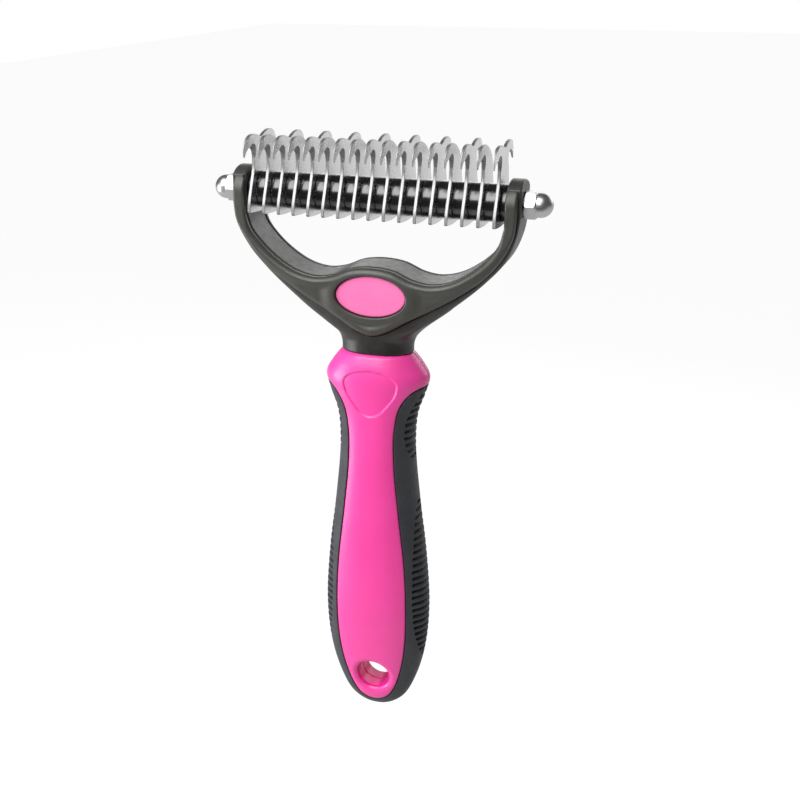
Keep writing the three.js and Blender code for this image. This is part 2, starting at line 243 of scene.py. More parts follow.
# Half of a hooked blade in Y and Z about the rod: the foot's corner up the stem to the tooth's tip
STEM_EDGE = [[9.3, -4.6], [8.9, -2.2], [6.9, 2.4], [5.3, 6.2], [4.9, 9.2]]
THROAT = [[5.5, 11.2], [7.4, 12.2], [9.4, 11.7], [10.9, 10.0]]
TOOTH_BACK = [[11.4, 10.2], [11.3, 12.4], [9.9, 14.3], [7.6, 15.3], [5.2, 15.5], [2.4, 15], [0, 14.3]]
PLAIN_BACK = [[3.3, 11.8], [0.4, 13.9], [-2.6, 15.1], [-5.2, 15.5]]
FOOT_BOTTOM = [[8.9, -5.1], [4.5, -5.6], [0, -5.8]]
KEY_HALF = 2.65  # half the square hole that the rod's square middle fills


# ---- Curves ----

def spline(points, per_span=12):
    """A centripetal Catmull-Rom curve through the points."""
    p = np.array(points, float)
    p = np.vstack([2 * p[0] - p[1], p, 2 * p[-1] - p[-2]])
    pieces = []
    for a, b, c, d in zip(p, p[1:], p[2:], p[3:]):
        t1 = np.linalg.norm(b - a) ** 0.5
        t2 = t1 + np.linalg.norm(c - b) ** 0.5
        t3 = t2 + np.linalg.norm(d - c) ** 0.5
        t = np.linspace(t1, t2, per_span, endpoint=False)[:, None]
        ab = a + (b - a) * t / t1
        bc = b + (c - b) * (t - t1) / (t2 - t1)
        cd = c + (d - c) * (t - t2) / (t3 - t2)
        abc = ab + (bc - ab) * t / t2
        bcd = bc + (cd - bc) * (t - t1) / (t3 - t1)
        pieces.append(abc + (bcd - abc) * (t - t1) / (t2 - t1))
    pieces.append(p[-2:-1])
    return np.vstack(pieces)


def mirrored(edge):
    """The same edge on the other side of the first axis, running back to where this one starts."""
    return [[-u, v] for u, v in edge[::-1]]


class Plan:
    """Signed distance to a closed outline in two axes, negative inside, from a table with smooth lookup."""

    STEP = 0.5
    MARGIN = 8.0

    def __init__(self, outline):
        a = np.asarray(outline, float)
        b = np.roll(a, -1, axis=0)
        self.low = a.min(0) - self.MARGIN
        counts = np.ceil((a.max(0) + self.MARGIN - self.low) / self.STEP).astype(int) + 1
        u = self.low[0] + self.STEP * np.arange(counts[0])
        v = self.low[1] + self.STEP * np.arange(counts[1])
        self.table = np.array([self.distances(value, v, a, b) for value in u])

    @staticmethod
    def distances(u, v, a, b):
        """Signed distances of the points (u, each of v) to the edges from a to b."""
        p = np.stack([np.full_like(v, u), v], axis=1)[:, None]
        along = b - a
        share = ((p - a) * along).sum(2) / np.maximum((along ** 2).sum(1), 1e-12)
        gap = p - (a + np.clip(share, 0, 1)[..., None] * along)
        distance = np.sqrt((gap ** 2).sum(2).min(1))
        above_a, above_b = a[:, 1] > p[..., 1], b[:, 1] > p[..., 1]
        with np.errstate(divide="ignore", invalid="ignore"):
            crossing = a[:, 0] + (p[..., 1] - a[:, 1]) * along[:, 0] / along[:, 1]
        inside = ((above_a != above_b) & (p[..., 0] < crossing)).sum(1) % 2 == 1
        return np.where(inside, -distance, distance)

    def __call__(self, u, v):
        place = [(w - low) / self.STEP for w, low in zip((u, v), self.low)]
        place = [np.clip(w, 1, n - 2.001) for w, n in zip(place, self.table.shape)]
        cell = [w.astype(int) for w in place]
        weights = []
        for w, whole in zip(place, cell):
            t = w - whole
            weights.append([
                t * (t * (2 - t) - 1) / 2,
                (t * t * (3 * t - 5) + 2) / 2,
                t * (t * (4 - 3 * t) + 1) / 2,
                t * t * (t - 1) / 2,
            ])
        total = 0
        for i, j in itertools.product(range(4), repeat=2):
            total = total + weights[0][i] * weights[1][j] * self.table[cell[0] + i - 1, cell[1] + j - 1]
        return total


class Loft:
    """Signed distance to a body of superellipse sections stacked along Z."""

    END_FALL = 20  # how fast the section closes below the first station

    def __init__(self, stations):
        route = spline([[w, d, z] for z, w, d in stations], 150)
        self.z = route[:, 2]
        self.power = np.maximum(route[:, 0], 0) ** SQUARENESS
        self.rise = np.gradient(self.power, self.z)
        self.ratio = np.maximum(route[:, 0], 1e-3) / np.maximum(route[:, 1], 1e-3)

    def __call__(self, x, y, z):
        n = SQUARENESS
        ratio = np.interp(z, self.z, self.ratio)
        across = np.abs(x)
        deep = np.abs(y) * ratio
        rise = np.interp(z, self.z, self.rise)
        power = np.interp(z, self.z, self.power) - np.maximum(self.z[0] - z, 0) * self.END_FALL
        value = across ** n + deep ** n - power
        slope = np.sqrt((n * across ** (n - 1)) ** 2 + (n * ratio * deep ** (n - 1)) ** 2 + rise ** 2)
        return value / np.maximum(slope, 1.0)


# ---- Joining fields ----

def both(a, b, radius):
    """Where a and b overlap, with the edge between them rounded."""
    corner = np.hypot(np.maximum(a + radius, 0), np.maximum(b + radius, 0))
    return np.minimum(np.maximum(a, b), -radius) + corner


def either(a, b, radius):
    """a and b joined, with a fillet between them."""
    return -both(-a, -b, radius)


def ramp(value, start, end):
    """0 before start, 1 after end, smooth between."""
    t = np.clip((value - start) / (end - start), 0, 1)
    return t * t * (3 - 2 * t)


# ---- Fields to meshes ----

COARSE = 4  # grid steps between the samples that find where the surface is
SETTLING = 3  # times that the points are moved onto the surface


def slope_of(field, points, step):
    """The field's gradient at each point."""
    parts = []
    for axis in range(3):
        shift = np.zeros(3)
        shift[axis] = step
        parts.append((field(*(points + shift).T) - field(*(points - shift).T)) / (2 * step))
    return np.stack(parts, axis=1)


def sampled(field, low, high, cell):
    """The grid's first corner and the field on it, exact near the surface only."""
    first = np.asarray(low, float) - 2 * cell
    counts = [COARSE * math.ceil((h - f + 2 * cell) / cell / COARSE) + 1 for h, f in zip(high, first)]
    axes = [f + cell * np.arange(n) for f, n in zip(first, counts)]
    coarse = field(*np.meshgrid(*[a[::COARSE] for a in axes], indexing="ij"))
    grid = coarse[np.ix_(*[(np.arange(n) + COARSE // 2) // COARSE for n in counts])]
    near = np.abs(grid) < 2 * COARSE * cell
    i, j, k = np.nonzero(near)
    grid[near] = field(axes[0][i], axes[1][j], axes[2][k])
    return first, grid


def crossed_cells(grid, inside):
    """A number for each cell that the surface passes through, and the middle of its edge crossings there."""
    corners = np.array(list(itertools.product((0, 1), repeat=3)))
    cells = tuple(n - 1 for n in grid.shape)
    count = sum(inside[i:i + cells[0], j:j + cells[1], k:k + cells[2]].astype(np.int8) for i, j, k in corners)
    mixed = (count > 0) & (count < len(corners))
    where = np.argwhere(mixed)
    number = np.full(cells, -1)
    number[mixed] = np.arange(len(where))
    values = grid[tuple(np.moveaxis(where[:, None] + corners, 2, 0))]
    total, crossings = np.zeros((len(where), 3)), np.zeros((len(where), 1))
    for a, b in itertools.combinations(range(len(corners)), 2):
        if np.abs(corners[a] - corners[b]).sum() > 1:
            continue
        cut = (values[:, a] < 0) != (values[:, b] < 0)
        share = np.where(cut, values[:, a] / np.where(cut, values[:, a] - values[:, b], 1), 0)
        total += cut[:, None] * (corners[a] + share[:, None] * (corners[b] - corners[a]))
        crossings += cut[:, None]
    return number, where + total / crossings


def level_set(field, low, high, cell):
    """Points, quads and normals of the surface where the field is zero."""
    first, grid = sampled(field, low, high, cell)
    inside = grid < 0
    number, middles = crossed_cells(grid, inside)
    points = first + cell * middles
    probe = cell / 20
    for _ in range(SETTLING):
        slope = slope_of(field, points, probe)
        move = -field(*points.T)[:, None] * slope / np.maximum((slope ** 2).sum(1), 0.25)[:, None]
        size = np.linalg.norm(move, axis=1)[:, None]
        points += move * np.minimum(1, 0.5 * cell / np.maximum(size, 1e-9))
    normals = slope_of(field, points, probe)
    normals /= np.maximum(np.linalg.norm(normals, axis=1), 1e-9)[:, None]
    return points, quads_of(inside, number), normals


def quads_of(inside, number):
    """One quad for each grid edge that the surface crosses, facing out."""
    quads = []
    for axis in range(3):
        start = np.take(inside, range(inside.shape[axis] - 1), axis)
        end = np.take(inside, range(1, inside.shape[axis]), axis)
        edge = np.argwhere(start != end)
        u, v = np.eye(3, dtype=int)[[(axis + 1) % 3, (axis + 2) % 3]]
        ring = [number[tuple((edge - a * u - b * v).T)] for a, b in ((1, 1), (0, 1), (0, 0), (1, 0))]
        quad = np.stack(ring, axis=1)
        outward = start[tuple(edge.T)]
        quad[~outward] = quad[~outward][:, ::-1]
        quads.append(quad)
    return np.vstack(quads)


def make_object(name, points, faces, materials):
    """A mesh object from points in millimetres, riding on the rake."""
    mesh = bpy.data.meshes.new(name)
    mesh.from_pydata((np.asarray(points) * MM).tolist(), [], [list(map(int, f)) for f in faces])
    for material in materials:
        mesh.materials.append(material)
    mesh.update()
    piece = bpy.data.objects.new(name, mesh)
    bpy.context.scene.collection.objects.link(piece)
    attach(piece, "root")
    return piece


def moulded(name, field, low, high, cell, material):
    """A moulded piece meshed from its field, shaded with the field's own normals."""
    points, quads, normals = level_set(field, low, high, cell)
    piece = make_object(f"{name}_look", points, quads, [material])
    piece.data.shade_smooth()
    piece.data.normals_split_custom_set_from_vertices(normals.tolist())
    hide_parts(name)


# ---- Materials ----

NOISE_LOW, NOISE_HIGH = 0.3, 0.7  # the values that a noise rarely leaves


class Shader:
    """A node material around one Principled shader, with short calls for the nodes it needs."""

    def __init__(self, name, colour, roughness, metallic=0.0, **sockets):
        self.material = bpy.data.materials.new(name)
        self.material.use_nodes = True
        self.tree = self.material.node_tree
        self.principled = self.tree.nodes["Principled BSDF"]
        self.set("Base Color", (*colour, 1))
        self.set("Roughness", roughness)
        self.set("Metallic", metallic)
        for socket, value in sockets.items():
            self.set(socket.replace("_", " ").title().replace("Ior", "IOR"), value)
        self.place = self.tree.nodes.new("ShaderNodeTexCoord").outputs["Object"]

    def set(self, socket, value):
        self.principled.inputs[socket].default_value = value

    def link(self, output, target):
        self.tree.links.new(output, target)

    def stretched(self, scale):
        """The object's coordinates times a scale for each axis, per metre."""
        node = self.tree.nodes.new("ShaderNodeMapping")
        node.inputs["Scale"].default_value = scale
        self.link(self.place, node.inputs["Vector"])
        return node.outputs["Vector"]

    def noise(self, scale, detail=3.0, roughness=0.5):
        """A noise with one scale, or one for each axis, per metre."""
        node = self.tree.nodes.new("ShaderNodeTexNoise")
        node.inputs["Scale"].default_value = 1.0
        node.inputs["Detail"].default_value = detail
        node.inputs["Roughness"].default_value = roughness
        scale = scale if isinstance(scale, tuple) else (scale,) * 3
        self.link(self.stretched(scale), node.inputs["Vector"])
        return node.outputs["Fac"]

    def spots(self, scale):
        node = self.tree.nodes.new("ShaderNodeTexVoronoi")
        node.inputs["Scale"].default_value = 1.0
        self.link(self.stretched((scale,) * 3), node.inputs["Vector"])
        return node.outputs["Distance"]

    def remap(self, value, low, high, from_low=NOISE_LOW, from_high=NOISE_HIGH):
        """The value stretched from one range to another, and kept inside it."""
        node = self.tree.nodes.new("ShaderNodeMapRange")
        node.inputs["From Min"].default_value = from_low
        node.inputs["From Max"].default_value = from_high
        node.inputs["To Min"].default_value = low
        node.inputs["To Max"].default_value = high
        self.link(value, node.inputs["Value"])
        return node.outputs["Result"]

    def height(self, low_mm, high_mm):
        """The object's height, as a value that crosses a noise's range between two heights."""
        node = self.tree.nodes.new("ShaderNodeSeparateXYZ")
        self.link(self.place, node.inputs["Vector"])
        return self.remap(node.outputs["Z"], NOISE_LOW, NOISE_HIGH, low_mm * MM, high_mm * MM)

    def roughness_from(self, value, low, high):
        self.link(self.remap(value, low, high), self.principled.inputs["Roughness"])

    def colour_from(self, value, first, second, from_low=NOISE_LOW, from_high=NOISE_HIGH):
        """Base colour between two colours by a value; the second may be another node's output."""
        node = self.tree.nodes.new("ShaderNodeMix")
        node.data_type = "RGBA"
        from_colour, to_colour = [s for s in node.inputs if s.type == "RGBA"]
        from_colour.default_value = (*first, 1)
        if isinstance(second, tuple):
            to_colour.default_value = (*second, 1)
        else:
            self.link(second, to_colour)
        self.link(self.remap(value, 0, 1, from_low, from_high), node.inputs[0])
        output = next(s for s in node.outputs if s.type == "RGBA")
        self.link(output, self.principled.inputs["Base Color"])

    def colour_within(self, inner_mm, outer_mm, colour):
        """Another colour near the Y axis: whole up to the inner radius, gone at the outer one."""
        node = self.tree.nodes.new("ShaderNodeVectorMath")
        node.operation = "LENGTH"
        self.link(self.stretched((1, 0, 1)), node.inputs[0])
        skin = self.principled.inputs["Base Color"].links[0].from_socket
        self.colour_from(node.outputs["Value"], colour, skin, inner_mm * MM, outer_mm * MM)

    def bump(self, value, height_mm):
        node = self.tree.nodes.new("ShaderNodeBump")
        node.inputs["Distance"].default_value = height_mm * MM
        self.link(value, node.inputs["Height"])
        self.link(node.outputs["Normal"], self.principled.inputs["Normal"])


PINK = (0.90, 0.066, 0.36)
PINK_DEEP = (0.85, 0.055, 0.33)
HOLE_SHADE_PINK = (0.72, 0.005, 0.24)  # painted shade on the hanging hole's wall
BADGE_PINK = (0.95, 0.20, 0.46)
BADGE_DEEP = (0.93, 0.18, 0.43)
GRIP_GREY = (0.030, 0.032, 0.038)
GRIP_DUST = (0.042, 0.044, 0.051)
YOKE_GREY = (0.042, 0.041, 0.036)
YOKE_PALE = (0.050, 0.049, 0.043)
# painted shade: the neck's near black stands for the shade under the cover plates
NECK_SHADE_GREY = (0.012, 0.011, 0.010)
CORE_GREY = (0.040, 0.039, 0.036)
NECK_SHADE_HEIGHTS = (106, 118)  # heights over which the neck's painted shade, under the cover plates, turns into the core's own grey
SPACER_BLACK = (0.004, 0.004, 0.005)
CHROME_GREY = (0.50, 0.50, 0.50)


def shell_plastic():
    """Satin moulded plastic: a faint spark-eroded grain, slow changes of gloss, and painted shade on the
    hanging hole's wall.
    """
    gloss = {"specular_ior_level": 0.45, "coat_weight": 0.15, "coat_roughness": 0.2}
    shader = Shader("shell_plastic", PINK, 0.36, **gloss)
    shader.colour_from(shader.noise(60), PINK_DEEP, PINK)
    # painted shade: the hanging hole's wall is a deeper pink, fading out past its lip
    shader.colour_within(*HOLE_SHADE_RADII, HOLE_SHADE_PINK)
    shader.roughness_from(shader.noise(900, 4), 0.31, 0.40)
    shader.bump(shader.noise(5200, 2), 0.004)
    return shader.material


def badge_plastic():
    shader = Shader("badge_plastic", BADGE_PINK, 0.3, specular_ior_level=0.4)
    shader.colour_from(shader.noise(90), BADGE_PINK, BADGE_DEEP)
    shader.roughness_from(shader.noise(1200, 3), 0.26, 0.34)
    shader.bump(shader.noise(4200, 2), 0.002)
    return shader.material


def grip_rubber():
    """Matt rubber: a fine stipple, and pale dust in patches."""
    gloss = {"specular_ior_level": 0.4, "sheen_weight": 0.05, "sheen_roughness": 0.5}
    shader = Shader("grip_rubber", GRIP_GREY, 0.6, **gloss)
    shader.colour_from(shader.noise(160, 5, 0.6), GRIP_GREY, GRIP_DUST)
    shader.roughness_from(shader.noise(700, 4), 0.52, 0.68)
    shader.bump(shader.spots(2600), 0.010)
    return shader.material


def yoke_plastic(name, darkest, palest, fade=None):
    """Satin dark plastic with a fine moulded grain. Its greys follow a noise, or the height over a fade,
    darkest below it as painted shade.
    """
    shader = Shader(name, darkest, 0.42, specular_ior_level=0.6)
    shade = shader.height(*fade) if fade else shader.noise(120, 5, 0.6)
    shader.colour_from(shade, darkest, palest)
    shader.roughness_from(shader.noise(500, 4), 0.38, 0.48)
    shader.bump(shader.noise(3200, 2), 0.007)
    return shader.material


def spacer_plastic():
    """Glossy black with fine turning lines around it."""
    gloss = {"specular_ior_level": 0.8, "coat_weight": 0.5, "coat_roughness": 0.15}
    shader = Shader("spacer_plastic", SPACER_BLACK, 0.2, **gloss)
    shader.roughness_from(shader.noise((2500, 90, 90), 2), 0.16, 0.28)
    shader.bump(shader.noise((5200, 60, 60), 2), 0.006)
    return shader.material


def steel(name, colour, roughness, lines, height_mm):
    """Steel with fine lines: lines is the noise's scale along each axis, per metre."""
    low, high = roughness
    shader = Shader(name, colour, low, metallic=1.0)
    shader.colour_from(shader.noise(300, 4), colour, tuple(0.93 * c for c in colour))
    shader.roughness_from(shader.noise(lines, 3), low, high)
    shader.bump(shader.noise(lines, 2), height_mm)
    return shader.material


def chrome():
    shader = Shader("chrome_plate", CHROME_GREY, 0.36, metallic=1.0)
    shader.roughness_from(shader.noise(800, 3), 0.33, 0.41)
    shader.bump(shader.noise(600, 2), 0.0006)
    return shader.material


SHELL = shell_plastic()
GRIP = grip_rubber()
YOKE = yoke_plastic("yoke_plastic", YOKE_GREY, YOKE_PALE)
# the core's neck carries painted shade, darkest below the fade's heights
CORE = yoke_plastic("yoke_core_plastic", NECK_SHADE_GREY, CORE_GREY, NECK_SHADE_HEIGHTS)
BADGE = badge_plastic()
SPACER = spacer_plastic()
ROLLED, SHEARED, GROUND = (300, 300, 5200), (5200, 400, 400), (400, 5200, 400)  # scales of the lines' noise
STEEL_FACE = steel("steel_face", (0.80, 0.80, 0.80), (0.20, 0.30), ROLLED, 0.0005)
STEEL_CUT = steel("steel_cut_edge", (0.35, 0.35, 0.355), (0.42, 0.55), SHEARED, 0.003)
STEEL_GROUND = steel("steel_ground", (0.70, 0.70, 0.70), (0.35, 0.45), GROUND, 0.003)
# painted shade and reflection: darker ground metal from the throat up to the tips
STEEL_PAINTED_SHADE = steel("steel_ground_painted_shade", (0.38, 0.38, 0.385), (0.55, 0.65), GROUND, 0.003)
CHROME = chrome()


# ---- Handle ----

# Grid steps of the moulded pieces
SHELL_CELL, GRIP_CELL, CORE_CELL, PLATE_CELL, BADGE_CELL = 0.3, 0.33, 0.3, 0.27, 0.25

# Where the shell's outline is closed, beyond the collar
PLAN_HALF_WIDTH = SHELL_EDGE[-1][0]
PLAN_TOP = COLLAR_TOP + 12

HANDLE = Loft(HANDLE_STATIONS)
SHELL_PLAN = Plan(np.vstack([
    [[-PLAN_HALF_WIDTH, PLAN_TOP]],
    spline(mirrored(SHELL_EDGE)[:-1] + SHELL_EDGE),
    [[PLAN_HALF_WIDTH, PLAN_TOP]],
]))
THUMB_PLAN = Plan(spline(THUMB_EDGE[:-1] + mirrored(THUMB_EDGE)[:-1] + [THUMB_EDGE[0]]))


def handle_body(x, y, z):
    """The whole handle, with its rounded collar rim and the hanging hole's soft lips."""
    body = both(HANDLE(x, y, z), z - COLLAR_TOP, COLLAR_ROUNDING)
    return both(body, HOLE_RADIUS - np.hypot(x, z), HOLE_LIP)


def shell_hollow(x, y, z):
    """The room inside the shells: the main hollow, and the pocket that the yoke's tang fills."""
    wall = np.maximum(HANDLE(x, y, z), SHELL_PLAN(x, z)) + SHELL_WALL
    hollow = both(wall, np.maximum(CAVITY_FROM - z, z - CAVITY_TO), CAVITY_ROUNDING)
    across = np.abs(x) - TANG["half_width"] - TANG["clearance"]
    deep = np.abs(y) - TANG["half_depth"] - TANG["clearance"]
    pocket = np.maximum(np.maximum(across, deep), TANG["bottom"] - TANG["clearance"] - z)
    return np.minimum(hollow, pocket)


def shell_field(side):
    """One coloured half shell: side is -1 for the front and 1 for the back."""
    def field(x, y, z):
        recess = THUMB_DEPTH * ramp(-THUMB_PLAN(x, z), -THUMB_SLOPE_HALF, THUMB_SLOPE_HALF)
        skin = both(handle_body(x, y, z) + recess, SHELL_PLAN(x, z) + SEAM_HALF, SEAM_ROUNDING)
        half = both(skin, PARTING_HALF - side * y, PARTING_ROUNDING)
        return both(half, -shell_hollow(x, y, z), FINE_ROUNDING)
    return field


def rib_cut(y, z):
    """Depth of the grooves across the grip's two ribbed pads."""
    cut = 0
    for pad in RIB_PADS:
        above = z > pad["z"]
        reach = np.where(above, pad["up"], pad["down"])
        # distance inside the pad's lens, measured across it
        width = pad["half"] * np.sqrt(np.clip(1 - ((z - pad["z"]) / reach) ** 2, 0, 1))
        groove = ramp(np.cos(2 * math.pi * (z - pad["z"]) / RIB_PITCH), *RIB_FLANK)
        cut = cut + groove * ramp(width - np.abs(y), 0.0, PAD_EDGE)
    return RIB_DEPTH * cut


def grip_field(x, y, z):
    skin = handle_body(x, y, z) + rib_cut(y, z)
    return both(skin, SEAM_HALF - SHELL_PLAN(x, z), SEAM_ROUNDING)


def build_handle():
    for node, side in (("handle_front_shell", -1), ("handle_back_shell", 1)):
        low, high = box_mm(node)
        moulded(node, shell_field(side), low, high, SHELL_CELL, SHELL)
    low, high = box_mm("grip_band")
    moulded("grip_band", grip_field, low, high, GRIP_CELL, GRIP)


# ---- Yoke ----

FORK_PLAN_TOP = BAR_Z + 20  # where the arms' outlines are closed, well above their round ends


def fork_plan(lower_edge):
    """The fork seen from the front: a lower edge, the arms and the window's edge."""
    top, outer, inner = FORK_PLAN_TOP, lower_edge[-1][0], ARM_INNER
    below = spline(mirrored(lower_edge)[:-1] + lower_edge)
    window = spline(mirrored(WINDOW_EDGE)[:-1] + WINDOW_EDGE)[::-1]
    outline = np.vstack([[[-outer, top]], below, [[outer, top], [inner, top]], window, [[-inner, top]]])
    return Plan(outline)


CORE_PLAN = fork_plan(CORE_EDGE)
PLATE_PLAN = fork_plan(PLATE_EDGE)
WINDOW_PLAN = Plan(np.vstack([
    spline(mirrored(WINDOW_EDGE)[:-1] + WINDOW_EDGE),
    [[ARM_INNER, FORK_PLAN_TOP], [-ARM_INNER, FORK_PLAN_TOP]],
]))
NECK = Loft(NECK_STATIONS)


def side_view(depth, y, z):
    """The yoke's side outline at a half depth, with its round end about the rod."""
    round_end = np.hypot(y, np.maximum(z - BAR_Z, 0) * ARM_RADIUS / ARM_TOP) - ARM_RADIUS
    return np.maximum(np.abs(y) - depth, np.where(z > BAR_Z, round_end, -ARM_RADIUS))


def channel(x, y, z):
    """The groove along the window's edge, where the core meets a cover plate."""
    across = np.abs(np.abs(y) - CORE_HALF_DEPTH + CHANNEL_INSET) - CHANNEL_HALF
    front_depth = CHANNEL_DEPTH * (1 - CHANNEL_FADE * ramp(z, *CHANNEL_FADE_RANGE))
    depth = np.where(y < 0, front_depth, BACK_CHANNEL_DEPTH)
    return both(across, WINDOW_PLAN(x, z) - depth, CHANNEL_ROUNDING)


def core_fork(x, y, z):
    """The core's fork, grooved along the window."""
    rounding = np.where(y < 0, CORE_ROUNDING - CORE_LESS_ON_ARM * ramp(z, *ARM_RANGE), BACK_ROUNDING)
    fork = both(CORE_PLAN(x, z), side_view(CORE_HALF_DEPTH, y, z), rounding)
    return both(fork, -channel(x, y, z), FINE_ROUNDING)


def core_tang(x, y, z):
    """The core's rectangular tang, down inside the handle."""
    tang = np.maximum(np.abs(x) - TANG["half_width"], np.abs(y) - TANG["half_depth"])
    return np.maximum(tang, np.maximum(TANG["bottom"] - z, z - TANG["top"]))


def core_field(x, y, z):
    neck_ends = np.maximum(COLLAR_TOP + SEAM_HALF - z, z - NECK_STATIONS[-1][0])
    neck = both(NECK(x, y, z), neck_ends, NECK_END_ROUNDING)
    joined = either(core_fork(x, y, z), neck, NECK_FILLET)
    body = both(joined, np.abs(y) - CORE_HIGH[1], NECK_ROUNDING)
    covers = np.maximum(PLATE_PLAN(x, z) - 2 * SEAM_HALF, CORE_HALF_DEPTH - np.abs(y))
    body = both(body, -covers, FINE_ROUNDING)
    bore = ROD_BORE_RADIUS - np.hypot(y, z - BAR_Z)
    return both(np.minimum(body, core_tang(x, y, z)), bore, FINE_ROUNDING)


def ellipse_distance(x, z):
    """Distance outside the badge's oval, roughly, in millimetres."""
    u, v = x / BADGE_HALF[0], (z - BADGE_Z) / BADGE_HALF[1]
    reach = np.hypot(u, v)
    slope = np.hypot(u / BADGE_HALF[0], v / BADGE_HALF[1]) / np.maximum(reach, 1e-6)
    return (reach - 1) / np.maximum(slope, 1e-6)


def plate_relief(x, z):
    """How far the cover plate's face is dished below its rims: along the window, the oval and the V."""
    across = np.abs(x)
    off_window = ramp(WINDOW_PLAN(x, z), *DISH_OFF_WINDOW)
    flank = OVAL_FLANK + SIDE_FLANK_MORE * ramp(across, *SIDE_FLANK_RANGE)
    off_oval = ramp((ellipse_distance(x, z) - DISH_OFF_OVAL) / flank, 0, 1)
    at_v = ramp(BADGE_Z - z, *V_BELOW_BADGE) * (1 - ramp(across, *V_ENDS))
    off_v = 1 - at_v * (1 - ramp(-PLATE_PLAN(x, z), *DISH_OFF_V))
    return DISH_DEPTH * off_window * off_oval * off_v * (1 - ramp(across, *DISH_ENDS))


def plate_field(side):
    """One cover plate: side is -1 for the front and 1 for the back."""
    def field(x, y, z):
        taper = ramp(z, YOKE_TAPER_FROM, YOKE_TAPER_TO)
        depth = YOKE_HALF_DEPTH + taper * (ARM_RADIUS - YOKE_HALF_DEPTH) - plate_relief(x, z)
        rounding = PLATE_ROUNDING - PLATE_LESS_ON_ARM * ramp(z, *ARM_RANGE)
        outer = both(PLATE_PLAN(x, z), side_view(depth, y, z), rounding)
        outer = both(outer, -channel(x, y, z), FINE_ROUNDING)
        plate = both(outer, PLATE_INNER - side * y, FINE_ROUNDING)
        return both(plate, BADGE_GAP - ellipse_distance(x, z), BADGE_RIM_ROUNDING)
    return field


def badge_field(side):
    """One slightly crowned oval badge, on the same side as its plate."""
    def field(x, y, z):
        oval = ellipse_distance(x, z)
        crown = BADGE_CROWN * np.clip(-oval / BADGE_HALF[1], 0, 1)
        front = side * y - (-BADGE_LOW[1] - BADGE_CROWN + crown)
        return both(both(oval, front, BADGE_ROUNDING), -BADGE_HIGH[1] - side * y, FINE_ROUNDING)
    return field


def build_yoke():
    low, high = box_mm("yoke_core")
    moulded("yoke_core", core_field, low, high, CORE_CELL, CORE)
    for end, side in (("front", -1), ("back", 1)):
        low, high = box_mm(f"yoke_{end}_plate")
        moulded(f"yoke_{end}_plate", plate_field(side), low, high, PLATE_CELL, YOKE)
        low, high = box_mm(f"badge_{end}")
        moulded(f"badge_{end}", badge_field(side), low, high, BADGE_CELL, BADGE)


# ---- Turned pieces and nuts ----

SHARP = math.radians(28)  # edges that bend by more than this are sharp
FLAT_BEND = math.radians(2)  # and by more than this round a blade's flat faces
JOIN = 0.001  # points nearer than this, in millimetres, are one point


def closed_up(mesh):
    """Join points that fall together, drop faces without area, and turn every face outward."""
    work = bmesh.new()
    work.from_mesh(mesh)
    bmesh.ops.remove_doubles(work, verts=work.verts, dist=JOIN * MM)
    bmesh.ops.dissolve_degenerate(work, edges=work.edges, dist=JOIN * MM)
    bmesh.ops.recalc_face_normals(work, faces=work.faces)
    work.to_mesh(mesh)
    work.free()


def keep_flats(mesh, angle):
    """Make sharp the edges of the first material's faces where the surface bends by more than the angle."""
    work = bmesh.new()
    work.from_mesh(mesh)
    for edge in work.edges:
        borders_flat = any(face.material_index == 0 for face in edge.link_faces)
        if borders_flat and edge.calc_face_angle(0) > angle:
            edge.smooth = False
    work.to_mesh(mesh)
    work.free()


def finish_hard(piece, *nodes):
    """Flat faces stay flat and round ones smooth, and the piece stands for its CAD nodes."""
    closed_up(piece.data)
    piece.data.shade_smooth()
    piece.data.set_sharp_from_angle(angle=SHARP)
    if len(piece.data.materials) > 1:
        keep_flats(piece.data, FLAT_BEND)
    weighted = piece.modifiers.new("flat_faces", "WEIGHTED_NORMAL")
    weighted.keep_sharp = True
    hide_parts(*nodes)


def ring_strip(rings):
    """Quads between closed rings of equal length, in order."""
    faces = []
    count = len(rings[0])
    for r in range(len(rings) - 1):
        for i in range(count):
            j = (i + 1) % count
            faces.append((r * count + i, r * count + j, (r + 1) * count + j, (r + 1) * count + i))
    return faces


def full_turn(segments):
    """Equal steps of angle once round."""
    return [2 * math.pi * i / segments for i in range(segments)]


def ring_about_rod(x, radii, turn):
    """A ring of points at X about the rod, with a radius for each angle."""
    return [(x, r * math.sin(a), BAR_Z + r * math.cos(a)) for r, a in zip(radii, turn)]


SPACER_BORE, SPACER_BREAK = 3.7, 0.22  # the bore's radius and the rounding of the ends
SPACER_SEGMENTS = 96


def spacer_look(node):
    """A turned sleeve with a broken edge at each end."""
    low, high = box_mm(node)
    x0, x1 = low[0], high[0]
    outer, inner, edge = high[1], SPACER_BORE, SPACER_BREAK
    profile = [(x0, inner + edge), (x0, outer - edge)]
    for angle in np.linspace(0, math.pi / 2, 5)[1:]:
        profile.append((x0 + edge * (1 - math.cos(angle)), outer - edge + edge * math.sin(angle)))
    profile += [(x0 + x1 - x, r) for x, r in reversed(profile)]
    profile += [(x1 - edge, inner), (x0 + edge, inner)]
    turn = full_turn(SPACER_SEGMENTS)
    rings = [ring_about_rod(x, [r] * SPACER_SEGMENTS, turn) for x, r in profile + [profile[0]]]
    points = [p for ring in rings[:-1] for p in ring]
    faces = [tuple(v % len(points) for v in f) for f in ring_strip(rings)]
    piece = make_object(f"{node}_look", points, faces, [SPACER])
    finish_hard(piece, node)


